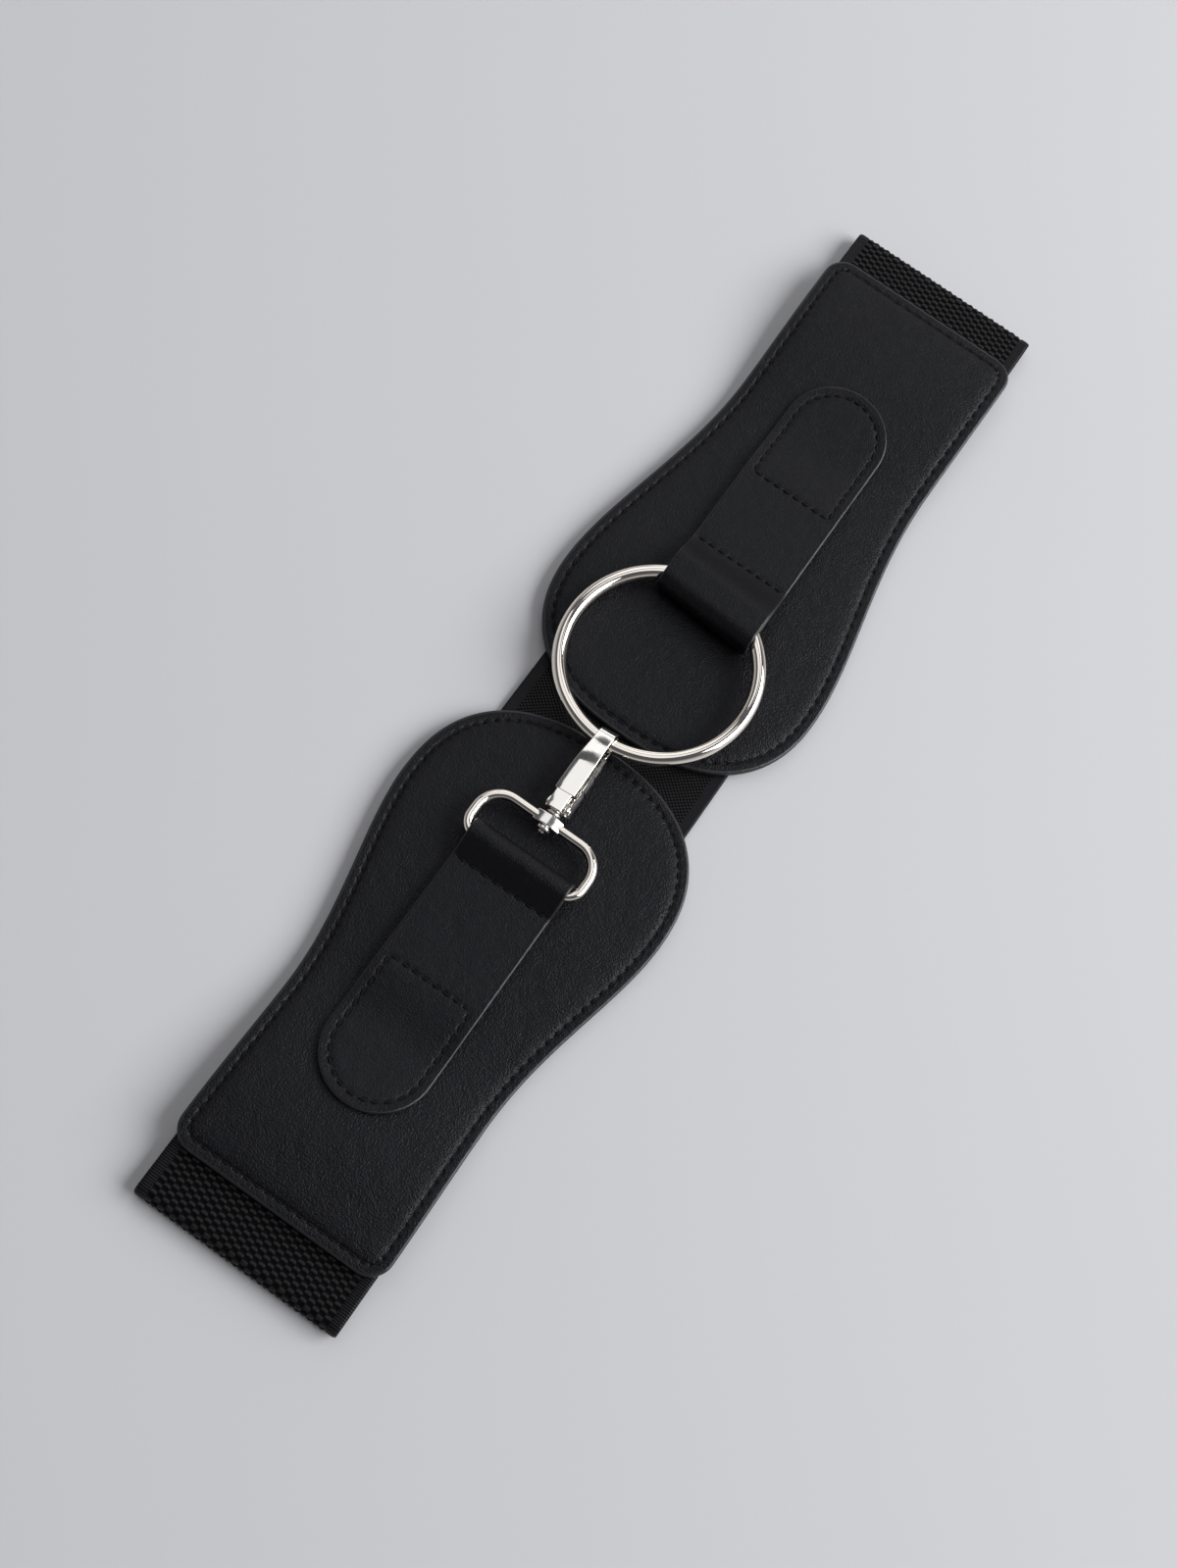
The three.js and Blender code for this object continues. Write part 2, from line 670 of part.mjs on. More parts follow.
const belt = new THREE.Group();
belt.add(elasticBand());
belt.add(frontPanel('hook_panel', hookInner, -1, HOOK_PANEL_LENGTH));
belt.add(frontPanel('ring_panel', ringInner, 1, RING_PANEL_LENGTH));
belt.add(foldedTab('hook_tab', {
  wire: {
    x: loopBack,
    y: HOOK_Y,
    z: axisZ,
    size: LOOP_WIRE,
    radius: LOOP_BACK_CORNER,
    straightHalf: loopStraightHalf,
    lean: 0,
  },
  direction: -1,
  centreY: HOOK_TAB_Y,
  reach: HOOK_TAB_REACH,
  nearStitch: HOOK_NEAR_STITCH,
}));
belt.add(foldedTab('ring_tab', {
  wire: {
    x: ringRight,
    y: RING_Y,
    z: ringFoldZ,
    size: RING_WIRE,
    radius: ringRadius,
    straightHalf: 0,
    lean: RING_LEAN,
  },
  direction: 1,
  centreY: RING_TAB_Y,
  reach: RING_TAB_REACH,
  nearStitch: RING_NEAR_STITCH,
}));
belt.add(oRing());
belt.add(hookLoop());

const snapHook = new THREE.Group();
snapHook.position.set(noseX, HOOK_Y, axisZ);
snapHook.rotation.x = ROLL;
snapHook.add(hookBody());
snapHook.add(gatePlate());
belt.add(snapHook);

export default belt;
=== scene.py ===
import math

import bmesh
import bpy
import numpy as np
from mathutils import Matrix, Vector, noise


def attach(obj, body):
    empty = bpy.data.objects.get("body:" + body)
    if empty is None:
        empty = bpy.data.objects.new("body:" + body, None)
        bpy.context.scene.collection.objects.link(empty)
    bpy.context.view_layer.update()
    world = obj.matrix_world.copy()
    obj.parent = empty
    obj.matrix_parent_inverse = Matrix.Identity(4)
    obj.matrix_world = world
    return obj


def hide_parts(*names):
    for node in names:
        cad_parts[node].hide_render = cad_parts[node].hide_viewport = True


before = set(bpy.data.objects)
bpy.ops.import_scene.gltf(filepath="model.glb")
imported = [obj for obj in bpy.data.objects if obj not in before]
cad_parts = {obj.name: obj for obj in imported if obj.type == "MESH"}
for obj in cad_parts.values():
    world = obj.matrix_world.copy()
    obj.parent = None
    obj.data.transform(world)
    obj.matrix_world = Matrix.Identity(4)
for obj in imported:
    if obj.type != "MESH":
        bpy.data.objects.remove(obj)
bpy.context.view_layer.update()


# Elastic band
# The back and sides of the belt: one strip of black woven elastic, 60 mm wide, folded back
# on itself at both ends, where its cut ends are sewn under the front panels. The outside
# is a coarse basket weave, the inside a fine one, with a ribbed selvedge along each edge.
mm = 0.001
band_half = 30.0
selvedge = 3.2
fold_radius = 1.9
bottom_run = 337.0
hook_lap = 27.5
ring_lap = 26.0
fold_x = bottom_run / 2
fold_z = 2.8
half_turn = math.pi * fold_radius
band_length = hook_lap + half_turn + bottom_run + half_turn + ring_lap
weave_pitch = band_length / 208
weave_row = 2 * (band_half - selvedge) / 29


def band_point(s, y, out):
    if s < hook_lap:
        return Vector((hook_lap - fold_x - s, y, fold_z + fold_radius + out))
    s -= hook_lap
    if s < half_turn:
        turn = s / fold_radius
        reach = fold_radius + out
        return Vector((-fold_x - reach * math.sin(turn), y, fold_z + reach * math.cos(turn)))
    s -= half_turn
    if s < bottom_run:
        return Vector((-fold_x + s, y, fold_z - fold_radius - out))
    s -= bottom_run
    if s < half_turn:
        turn = s / fold_radius
        reach = fold_radius + out
        return Vector((fold_x + reach * math.sin(turn), y, fold_z - reach * math.cos(turn)))
    return Vector((fold_x - (s - half_turn), y, fold_z + fold_radius + out))


def weave_rise(s, y):
    across = (y + band_half - selvedge) / weave_row
    if across < 0 or across > 29:
        return 0.25
    row = math.floor(across)
    along = s / weave_pitch + 0.5 * (row % 2)
    lift = math.cos(2 * math.pi * along) * max(math.cos(math.pi * (across - row - 0.5)), 0) ** 0.6
    return 0.5 + 0.5 * lift


def new_group(name, inputs, outputs):
    tree = bpy.data.node_groups.new(name, "ShaderNodeTree")
    for label, kind in inputs:
        tree.interface.new_socket(name=label, in_out="INPUT", socket_type="NodeSocket" + kind)
    for label, kind in outputs:
        tree.interface.new_socket(name=label, in_out="OUTPUT", socket_type="NodeSocket" + kind)
    start = tree.nodes.new("NodeGroupInput")
    end = tree.nodes.new("NodeGroupOutput")
    return tree, start, end


def add(tree, kind, inputs=None, **settings):
    made = tree.nodes.new(kind)
    for label, value in settings.items():
        setattr(made, label, value)
    for socket, value in (inputs or {}).items():
        if isinstance(value, bpy.types.NodeSocket):
            tree.links.new(value, made.inputs[socket])
        else:
            made.inputs[socket].default_value = value
    return made


def calc(tree, operation, *values):
    return add(tree, "ShaderNodeMath", dict(enumerate(values)), operation=operation).outputs[0]


def remap(tree, value, given, wanted=(0.0, 1.0), curve="LINEAR"):
    sockets = {0: value, 1: given[0], 2: given[1], 3: wanted[0], 4: wanted[1]}
    return add(tree, "ShaderNodeMapRange", sockets, interpolation_type=curve).outputs[0]


def blend(tree, share, dark, light):
    return add(tree, "ShaderNodeMix", {0: share, 6: (*dark, 1), 7: (*light, 1)}, data_type="RGBA").outputs[2]


def cloudy(tree, at, scale, detail, roughness=0.5):
    sockets = {"Vector": at, "Scale": scale, "Detail": detail, "Roughness": roughness}
    return add(tree, "ShaderNodeTexNoise", sockets).outputs[0]


def new_material(name, color, roughness, **plain):
    material = bpy.data.materials.new(name)
    material.use_nodes = True
    material.diffuse_color = (*color, 1)
    shader = material.node_tree.nodes["Principled BSDF"]
    shader.inputs["Base Color"].default_value = (*color, 1)
    shader.inputs["Roughness"].default_value = roughness
    for label, value in plain.items():
        shader.inputs[label.replace("_", " ")].default_value = value
    return material, material.node_tree, shader


def settle(name, bm, body, materials, stands_for=(), crease=None):
    bmesh.ops.recalc_face_normals(bm, faces=bm.faces)
    bmesh.ops.scale(bm, vec=(mm, mm, mm), verts=bm.verts)
    mesh = bpy.data.meshes.new(name)
    bm.to_mesh(mesh)
    bm.free()
    mesh.shade_smooth()
    if crease:
        mesh.set_sharp_from_angle(angle=math.radians(crease))
    for material in materials:
        mesh.materials.append(material)
    piece = bpy.data.objects.new(name, mesh)
    bpy.context.scene.collection.objects.link(piece)
    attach(piece, body)
    if stands_for:
        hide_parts(*stands_for)
    return piece


# Basket weave as a height and a painted shade, from lengths along and across the strip in metres.
# The shade is colour that darkens the low gaps between the raised cells, where shade falls
basket, start, end = new_group(
    "basket weave",
    [("Flat", "Vector"), ("Pitch", "Float"), ("Row", "Float"), ("Offset", "Float")],
    [("Height", "Float"), ("Shade", "Float")],
)
flat = add(basket, "ShaderNodeSeparateXYZ", {0: start.outputs["Flat"]})
across = calc(basket, "DIVIDE", calc(basket, "ADD", flat.outputs[1], start.outputs["Offset"]), start.outputs["Row"])
row = calc(basket, "FLOOR", across)
half_step = calc(basket, "FRACT", calc(basket, "MULTIPLY", row, 0.5))
along = calc(basket, "ADD", calc(basket, "DIVIDE", flat.outputs[0], start.outputs["Pitch"]), half_step)
wave = calc(basket, "COSINE", calc(basket, "MULTIPLY", along, 2 * math.pi))
inside_row = calc(basket, "SUBTRACT", calc(basket, "FRACT", across), 0.5)
swell = calc(basket, "POWER", calc(basket, "COSINE", calc(basket, "MULTIPLY", inside_row, math.pi)), 0.6)
lift = calc(basket, "MULTIPLY", calc(basket, "MULTIPLY", wave, swell), 0.5)
raised = remap(basket, calc(basket, "ADD", lift, 0.5), (0.3, 0.9), curve="SMOOTHSTEP")
threads = calc(basket, "SINE", calc(basket, "MULTIPLY", flat.outputs[0], 2 * math.pi / 0.00026))
threads = calc(basket, "MULTIPLY", calc(basket, "MULTIPLY", threads, raised), 0.07)
basket.links.new(calc(basket, "ADD", raised, threads), end.inputs["Height"])
# Painted shade: a colour mask that falls to dark in the low gaps of the weave
basket.links.new(remap(basket, raised, (0.15, 0.7)), end.inputs["Shade"])


rib_pitch = 0.00066


def webbing_material(name, pitch, row, depth, selvedge_ribs):
    material, tree, shader = new_material(
        name, (0.007, 0.007, 0.009), 0.7,
        Specular_IOR_Level=0.07, Coat_Roughness=0.34, Coat_IOR=1.4, Sheen_Weight=0.04, Sheen_Roughness=0.4,
    )
    flat_at = add(tree, "ShaderNodeUVMap", uv_map="flat")
    weave = add(tree, "ShaderNodeGroup", node_tree=basket)
    tree.links.new(flat_at.outputs[0], weave.inputs["Flat"])
    weave.inputs["Pitch"].default_value = pitch * mm
    weave.inputs["Row"].default_value = row * mm
    weave.inputs["Offset"].default_value = (band_half - selvedge) * mm
    place = add(tree, "ShaderNodeSeparateXYZ", {0: flat_at.outputs[0]})
    edge = calc(tree, "ABSOLUTE", place.outputs[1])
    is_edge = calc(tree, "GREATER_THAN", edge, (band_half - selvedge) * mm)
    ribs = calc(tree, "SINE", calc(tree, "MULTIPLY", place.outputs[0], 2 * math.pi / rib_pitch))
    ribs = calc(tree, "ADD", calc(tree, "MULTIPLY", ribs, selvedge_ribs), 0.5)
    height = add(tree, "ShaderNodeMix", {0: is_edge, 2: weave.outputs["Height"], 3: ribs})
    # On the selvedge the painted shade follows the ribs, darker in the troughs between them
    shade = add(tree, "ShaderNodeMix", {0: is_edge, 2: weave.outputs["Shade"], 3: calc(tree, "ADD", ribs, 0.15)})
    lint = cloudy(tree, flat_at.outputs[0], 900.0, 4.0)
    # Colour: painted shade from the weave and rib height, times a random lint tone
    tone_and_painted_shade = calc(tree, "MULTIPLY", shade.outputs[0], calc(tree, "ADD", lint, 0.55))
    color = blend(tree, tone_and_painted_shade, (0.0002, 0.0002, 0.0003), (0.0065, 0.0065, 0.0088))
    tree.links.new(color, shader.inputs["Base Color"])
    tree.links.new(remap(tree, shade.outputs[0], (0.35, 1.0), (0.0, 0.5)), shader.inputs["Coat Weight"])
    bump = add(tree, "ShaderNodeBump", {"Strength": 1.0, "Distance": depth, "Height": height.outputs[0]})
    tree.links.new(bump.outputs[0], shader.inputs["Normal"])
    return material


coarse_weave = webbing_material("coarse woven elastic", weave_pitch, weave_row, 0.00045, 0.42)
fine_weave = webbing_material("fine woven elastic", 1.1, 0.66, 0.00025, 0.15)

fine_end = 18 * weave_pitch
steps = np.concatenate([
    np.linspace(0, fine_end, 109),
    np.linspace(fine_end, band_length - fine_end, 345)[1:],
    np.linspace(band_length - fine_end, band_length, 109)[1:],
])
outer_columns = [(-30, 0.55), (-29.75, 0.3), (-29.2, 0.12), (-28.3, 0.1), (-27.3, 0.12)]
rows = [(y, 0) for y in np.linspace(-band_half + selvedge, band_half - selvedge, 59)]
columns = [*outer_columns, *rows, *((-y, drop) for y, drop in reversed(outer_columns))]
columns += [(y, 1.35) for y in (29.9, 29.3, 20, 10, 0, -10, -20, -29.3, -29.9)]
columns.append(columns[0])

bm = bmesh.new()
bmesh.ops.create_grid(bm, x_segments=len(steps) - 1, y_segments=len(columns) - 1, size=1)
flat_map = bm.loops.layers.uv.new("flat")
at = {}
for v in bm.verts:
    i = round((v.co.x + 1) / 2 * (len(steps) - 1))
    j = round((v.co.y + 1) / 2 * (len(columns) - 1))
    at[v] = (i, j)
for face in bm.faces:
    for loop in face.loops:
        i, j = at[loop.vert]
        loop[flat_map].uv = (steps[i] * mm, columns[j][0] * mm)
    face.material_index = int(min(columns[at[v][1]][1] for v in face.verts) > 1)
for v, (i, j) in at.items():
    y, drop = columns[j]
    if drop > 1:
        out = 0.6 - drop
    elif drop > 0:
        out = 0.72 - drop
    else:
        out = 0.08 + 0.8 * weave_rise(steps[i], y)
    v.co = band_point(steps[i], y, out)
bmesh.ops.remove_doubles(bm, verts=bm.verts, dist=1e-4)
bmesh.ops.holes_fill(bm, edges=[e for e in bm.edges if e.is_boundary], sides=0)
elastic = settle("elastic", bm, "belt", [coarse_weave, fine_weave], ["elastic_band"])


# Front panels
# Two shaped panels of fine-grained black leather over a thin padding, backed with a
# second ply. Each is lockstitched round its edge, which leaves the middle puffed, and its
# cut edge is rounded and painted, in a colour lighter than the face that also serves as a
# painted highlight along the edge.
panel_edge = 2.1
seam_inset = 2.9
bulb_half = 41.0
bulb_reach = 36.0
waist_half = 31.0
end_half = 31.4
corner = 6.5


on_fold, on_band, slope_run = 5.9, 2.1, 48


def underside(x):
    end = fold_x - (hook_lap if x < 0 else ring_lap)
    share = min(max((end - abs(x)) / slope_run, 0), 1)
    share = share * share * (3 - 2 * share)
    return on_fold + (on_band - on_fold) * share


def panel_outline(length, count):
    dense = []
    for angle in np.linspace(0, math.pi / 2, 200):
        half = bulb_half * math.sin(angle) ** (2 / 2.4)
        dense.append((bulb_reach * (1 - (1 - (half / bulb_half) ** 2.4) ** (1 / 2.4)), half))
    waist = 0.69 * length
    for share in np.linspace(0, 1, 200)[1:]:
        fall = 0.5 * (1 + math.cos(math.pi * share ** 0.87))
        dense.append((bulb_reach + (waist - bulb_reach) * share, waist_half + (bulb_half - waist_half) * fall))
    for share in np.linspace(0, 1, 60)[1:]:
        ease = share * share * (3 - 2 * share)
        dense.append((waist + (length - corner - waist) * share, waist_half + (end_half - waist_half) * ease))
    for angle in np.linspace(0, math.pi / 2, 30)[1:]:
        dense.append((length - corner + corner * math.sin(angle), end_half - corner + corner * math.cos(angle)))
    dense.append((length, 0))
    dense = np.array(dense)
    far = np.concatenate([[0], np.cumsum(np.hypot(*np.diff(dense, axis=0).T))])
    even = np.linspace(0, far[-1], count // 2 + 1)
    upper = np.stack([np.interp(even, far, dense[:, 0]), np.interp(even, far, dense[:, 1])], 1)
    lower = upper[-2:0:-1] * (1, -1)
    return np.concatenate([upper, lower])


def moved_in(outline, inset):
    ahead = np.roll(outline, -1, 0) - np.roll(outline, 1, 0)
    ahead /= np.hypot(*ahead.T)[:, None]
    return outline + inset * np.stack([ahead[:, 1], -ahead[:, 0]], 1)


def grow(bm, loop, places):
    edges = [bm.edges.get((v, loop[(i + 1) % len(loop)])) for i, v in enumerate(loop)]
    made = {g for g in bmesh.ops.extrude_edge_only(bm, edges=edges)["geom"] if isinstance(g, bmesh.types.BMVert)}
    fresh = []
    for v, place in zip(loop, places):
        w = next(e.other_vert(v) for e in v.link_edges if e.other_vert(v) in made)
        w.co = place
        fresh.append(w)
    return fresh


def first_loop(bm, places):
    loop = bmesh.ops.create_circle(bm, segments=len(places))["verts"]
    for v, place in zip(loop, places):
        v.co = place
    return loop


def fill_across(bm, loop, wide, ends=0):
    count = len(loop)
    half = wide // 2
    bm.faces.new(loop)
    rungs = []
    for k in range(half, count // 2 - half + 1):
        pair = loop[k], loop[count - k]
        shared = next(f for f in pair[0].link_faces if f in pair[1].link_faces)
        bmesh.utils.face_split(shared, *pair)
        rungs.append(bm.edges.get(pair))
    if not ends:
        return
    bm.verts.index_update()
    ring = [v.index for v in loop]
    first_x, last_x = rungs[0].verts[0].co.x, rungs[-1].verts[0].co.x
    known = len(bm.verts)
    bmesh.ops.subdivide_edges(bm, edges=rungs, cuts=wide - 1, use_grid_fill=True)
    for x, middle, way in ((first_x, 0, -1), (last_x, count // 2, 1)):
        bm.verts.ensure_lookup_table()
        rung = sorted((v for v in bm.verts[known:] if abs(v.co.x - x) < 1e-4), key=lambda v: -v.co.y)
        ties = []
        for i, v in enumerate(rung[:wide - 1], 1):
            other = bm.verts[ring[(middle + way * (i - half)) % count]]
            shared = next(f for f in v.link_faces if f in other.link_faces)
            bmesh.utils.face_split(shared, v, other)
            ties.append(bm.edges.get((v, other)))
        bmesh.ops.subdivide_edges(bm, edges=ties, cuts=ends, use_grid_fill=True)


# Fine leather grain: a pebbled height, and a tone that changes slowly over the hide, plus painted shade that darkens
# the low parts of the creases
grain, start, end = new_group(
    "leather grain",
    [("Place", "Vector"), ("Pebble", "Float")],
    [("Height", "Float"), ("Tone And Painted Shade", "Float"), ("Polish", "Float")],
)
per_metre = calc(grain, "DIVIDE", 1.0, start.outputs["Pebble"])
sway = add(grain, "ShaderNodeTexNoise", {"Vector": start.outputs["Place"], "Scale": 700.0, "Detail": 2.0})
sideways = (0.0004, 0.0004, 0.0004)
shift = add(grain, "ShaderNodeVectorMath", {0: sway.outputs["Color"], 1: sideways}, operation="MULTIPLY")
swayed = add(grain, "ShaderNodeVectorMath", {0: start.outputs["Place"], 1: shift.outputs[0]}, operation="ADD")
cells = {"Vector": swayed.outputs[0], "Scale": per_metre, "Smoothness": 0.6}
pebbles = add(grain, "ShaderNodeTexVoronoi", cells, feature="SMOOTH_F1")
domes = remap(grain, pebbles.outputs[0], (0.1, 0.75), (1.0, 0.0), "SMOOTHSTEP")
pores = cloudy(grain, start.outputs["Place"], 2600.0, 3.0)
creases = cloudy(grain, start.outputs["Place"], 260.0, 5.0, 0.6)
height = calc(grain, "ADD", calc(grain, "MULTIPLY", domes, 0.6), calc(grain, "MULTIPLY", pores, 0.25))
height = calc(grain, "ADD", height, calc(grain, "MULTIPLY", creases, 1.8))
grain.links.new(height, end.inputs["Height"])
cloud = cloudy(grain, start.outputs["Place"], 45.0, 4.0)
# Tone: a slow random cloud, plus painted shade that follows the crease height, darker in the hollows
tone_and_painted_shade = calc(grain, "ADD", calc(grain, "MULTIPLY", cloud, 0.5), calc(grain, "MULTIPLY", creases, 0.5))
grain.links.new(tone_and_painted_shade, end.inputs["Tone And Painted Shade"])
rub = cloudy(grain, start.outputs["Place"], 90.0, 6.0, 0.65)
grain.links.new(remap(grain, rub, (0.3, 0.7), (0.34, 0.44)), end.inputs["Polish"])


def leather_material(name, dark, light, pebble, depth, shine=0.175):
    tint = (0.93, 0.96, 1.0, 1)
    material, tree, shader = new_material(name, light, 0.5, Specular_IOR_Level=shine, Specular_Tint=tint)
    place = add(tree, "ShaderNodeTexCoord")
    hide = add(tree, "ShaderNodeGroup", node_tree=grain)
    tree.links.new(place.outputs["Object"], hide.inputs["Place"])
    hide.inputs["Pebble"].default_value = pebble * mm
    tree.links.new(blend(tree, hide.outputs["Tone And Painted Shade"], dark, light), shader.inputs["Base Color"])
    tree.links.new(hide.outputs["Polish"], shader.inputs["Roughness"])
    bump = add(tree, "ShaderNodeBump", {"Strength": 1.0, "Distance": depth, "Height": hide.outputs["Height"]})
    tree.links.new(bump.outputs[0], shader.inputs["Normal"])
    return material


hide_dark, hide_light = (0.0016, 0.0016, 0.0026), (0.0044, 0.0044, 0.0062)
panel_leather = leather_material("black panel leather", hide_dark, hide_light, 0.46, 0.00016)
# Real edge paint, in a colour lighter than the face leather: partly a painted highlight along the rounded edges
edge_paint_and_highlight = leather_material("black edge paint with painted highlight", (0.006, 0.006, 0.007), (0.012, 0.012, 0.014), 1.4, 0.00006, 0.45)
backing = leather_material("black backing ply", (0.004, 0.004, 0.005), (0.008, 0.008, 0.009), 0.5, 0.0001)

thread, tree, shader = new_material("black thread", (0.003, 0.003, 0.0035), 0.6, Specular_IOR_Level=0.12)
place = add(tree, "ShaderNodeTexCoord")
twist = add(tree, "ShaderNodeTexWave", {"Vector": place.outputs["Object"], "Scale": 1400.0, "Distortion": 1.5})
bump = add(tree, "ShaderNodeBump", {"Strength": 0.6, "Distance": 0.00005, "Height": twist.outputs[1]})
tree.links.new(bump.outputs[0], shader.inputs["Normal"])


def sew(bm, line, pitch, place, closed=False, thick=0.5, share=0.7):
    line = np.array(line)
    if closed:
        line = np.concatenate([line, line[:1]])
    far = np.concatenate([[0], np.cumsum(np.linalg.norm(np.diff(line, axis=0), axis=1))])
    count = max(round(far[-1] / pitch), 1)
    pitch = far[-1] / count

    def along(t):
        return Vector([np.interp(t, far, line[:, k]) for k in range(3)])

    for n in range(count):
        middle = (n + 0.5) * pitch
        here = place(*along(middle))
        ahead = place(*along(middle + share * pitch / 2)) - place(*along(middle - share * pitch / 2))
        raised = along(middle) + Vector((0, 0, 0.1))
        up = (place(*raised) - here).normalized()
        size = ahead.length / 2
        ahead.normalize()
        ahead = Matrix.Rotation(math.radians(5), 3, up) @ ahead
        side = up.cross(ahead).normalized()
        matrix = Matrix((side * thick / 2, up * thick / 2, ahead * size)).transposed().to_4x4()
        bmesh.ops.create_uvsphere(bm, u_segments=8, v_segments=6, radius=1, matrix=Matrix.Translation(here) @ matrix)


edge_profile = [
    (0.5, 0.02), (0.18, 0.1), (0.03, 0.32), (0, 0.6), (0.04, 0.86), (0.16, 1.0), (0.05, 1.12),
    (0, 1.35), (0.02, 1.62), (0.12, 1.86), (0.34, 2.03), (0.7, 2.1),
]
margin_rings = [1.2, 1.8, 2.3, 2.6, 2.9, 3.2, 3.55, 4.0, 4.6, 5.2]


def front_panel(name, length, tip_x, way, pitch, cad_node):
    count = 6 * round(2 * (length + 41) * 1.148 / pitch)
    outline = panel_outline(length, count)
    step = float(np.hypot(*(outline[1] - outline[0])))

    def place(x, y, h):
        x = tip_x + way * x
        return Vector((x, y, underside(x) + h))

    bm = bmesh.new()
    first = None
    for inset, h in [*edge_profile, *((inset, panel_edge) for inset in margin_rings)]:
        places = [Vector((x, y, h)) for x, y in moved_in(outline, inset)]
        loop = grow(bm, loop, places) if first else first_loop(bm, places)
        first = first or loop
    for face in bm.faces:
        face.material_index = int(min(v.co.z for v in face.verts) < panel_edge - 0.02)
    under = set(bm.faces)
    fill_across(bm, first, 114)
    for face in bm.faces:
        if face not in under:
            face.material_index = 2
    fill_across(bm, loop, 114, ends=11)

    top = [v for v in bm.verts if v.co.z > panel_edge - 0.001]
    plan = np.array([v.co[:2] for v in top])
    nearest = np.empty(len(top), int)
    depth = np.empty(len(top))
    for i in range(0, len(top), 2000):
        gap = np.linalg.norm(plan[i:i + 2000, None] - outline[None], axis=2)
        nearest[i:i + 2000] = gap.argmin(1)
        depth[i:i + 2000] = gap.min(1)
    for v, d, k in zip(top, depth, nearest):
        stitched = 0.5 - 0.5 * math.cos(2 * math.pi * k / 6)
        inner = max(d - seam_inset, 0)
        h = panel_edge
        h -= (0.06 + 0.44 * stitched) * math.exp(-((d - seam_inset) / 0.38) ** 2)
        h += 0.46 * (1 - math.exp(-inner / 1.3)) + 0.14 * (1 - math.exp(-inner / 9))
        h -= 0.12 * stitched * math.exp(-inner / 1.1) * min(inner * 3, 1)
        if inner:
            calm = min(inner / 4, 1)
            h += 0.10 * calm * noise.noise(Vector((v.co.x / 19, v.co.y / 17, tip_x)))
            h += 0.035 * calm * noise.noise(Vector((v.co.x / 6, v.co.y / 5, tip_x)))
        v.co.z = h
    for v in bm.verts:
        v.co = place(*v.co)
    panel = settle(name, bm, "belt", [panel_leather, edge_paint_and_highlight, backing], [cad_node])

    bm = bmesh.new()
    line = [(x, y, panel_edge - 0.26) for x, y in moved_in(outline, seam_inset)]
    sew(bm, line, 6 * step, place, closed=True, thick=0.7, share=0.74)
    settle(name + "_stitches", bm, "belt", [thread])


front_panel("hook_front", 147.0, -9.0, -1, 3.34, "hook_panel")
front_panel("ring_front", 161.0, -3.5, 1, 3.88, "ring_panel")


# Straps round the metal
# Each strap is one ply of the same leather, 31 mm wide, folded round its wire. The short
# underside ply and the long top ply are sewn to the panel with two cross seams, and a
# seam follows the edge round the tip.
ply = 1.5
strap_half = 15.35
puffed, rest_gap = 0.5, 0.3
strap_leather = leather_material("black strap leather", hide_dark, hide_light, 0.40, 0.00013)
strap_profile = [
    (2.4, -0.70), (1.4, -0.70), (0.8, -0.69), (0.42, -0.62), (0.14, -0.42), (0.02, -0.15), (0, 0.1),
    (0.03, 0.34), (0.16, 0.56), (0.42, 0.69), (0.75, 0.72), (1.05, 0.69), (1.4, 0.68), (1.9, 0.70),
    (2.3, 0.70), (2.6, 0.70), (2.9, 0.70), (3.3, 0.70), (3.9, 0.70), (4.8, 0.70),
]


